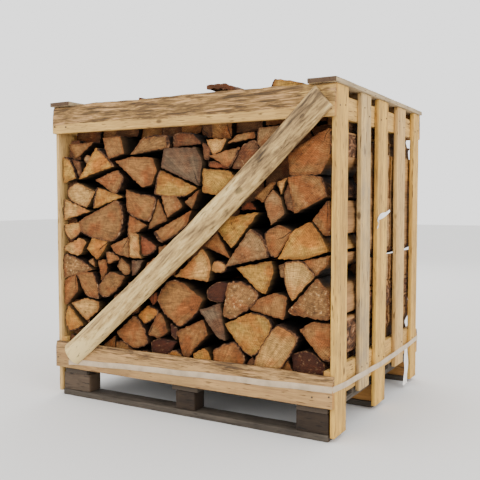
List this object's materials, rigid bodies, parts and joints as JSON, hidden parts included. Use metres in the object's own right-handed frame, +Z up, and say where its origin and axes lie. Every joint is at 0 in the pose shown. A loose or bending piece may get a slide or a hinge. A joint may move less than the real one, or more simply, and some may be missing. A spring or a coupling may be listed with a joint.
{
  "type": "firewood crate",
  "caption": "Slatted softwood crate on a pallet, filled with rows of split firewood logs, braced diagonally at the front and back, with a plastic strap round its foot.",
  "frame": {"origin": "on the floor under the middle of the crate", "axes": "+Z up, +X across the front from left to right, +Y from the front to the back"},
  "size_m": [1.19, 1.0298, 1.1689],
  "materials": {
    "fresh_pine": "rough sawn, fresh",
    "pale_pine": "rough sawn, pale",
    "greyed_pine": "rough sawn, greyed",
    "weathered_pine": "weathered and dirty",
    "split_birch": "split and dried",
    "birch_bark": "rough bark",
    "strap_plastic": "milky film"
  },
  "bodies": {
    "root": {"skid_front": "weathered_pine", "skid_middle": "weathered_pine", "skid_back": "weathered_pine", "stringer_left": "weathered_pine", "stringer_middle": "weathered_pine", "stringer_right": "weathered_pine", "deck_board_1": "weathered_pine", "deck_board_2": "weathered_pine", "deck_board_3": "weathered_pine", "deck_board_4": "weathered_pine", "deck_board_5": "weathered_pine", "block_front_left": "greyed_pine", "block_middle_left": "weathered_pine", "block_back_left": "weathered_pine", "block_front_middle": "weathered_pine", "block_middle_middle": "weathered_pine", "block_back_middle": "greyed_pine", "block_front_right": "weathered_pine", "block_middle_right": "fresh_pine", "block_back_right": "fresh_pine", "right_slat_1": "fresh_pine", "right_slat_2": "greyed_pine", "right_slat_3": "fresh_pine", "right_slat_4": "pale_pine", "right_slat_5": "fresh_pine", "left_slat_1": "pale_pine", "left_slat_2": "fresh_pine", "left_slat_3": "greyed_pine", "left_slat_4": "fresh_pine", "left_slat_5": "pale_pine", "left_side_rail_bottom": "pale_pine", "left_side_rail_top": "pale_pine", "left_cap_plank": "greyed_pine", "right_side_rail_bottom": "pale_pine", "right_side_rail_top": "pale_pine", "right_cap_plank": "greyed_pine", "front_rail_top": "greyed_pine", "front_rail_bottom": "pale_pine", "front_brace": "pale_pine", "back_rail_top": "greyed_pine", "back_rail_bottom": "pale_pine", "back_brace": "pale_pine", "strap": "strap_plastic", "strap_tail": "strap_plastic", "film_scrap": "strap_plastic", "log_row_front": "split_birch", "log_row_middle": "split_birch", "log_row_back": "split_birch", "top_log_front_right": "split_birch", "top_log_front_left": "split_birch", "top_log_middle_left": "split_birch", "top_log_middle_right": "split_birch", "top_log_back_left": "split_birch", "top_log_back_right": "split_birch", "top_bark_slab": "birch_bark"}
  },
  "joints": []
}
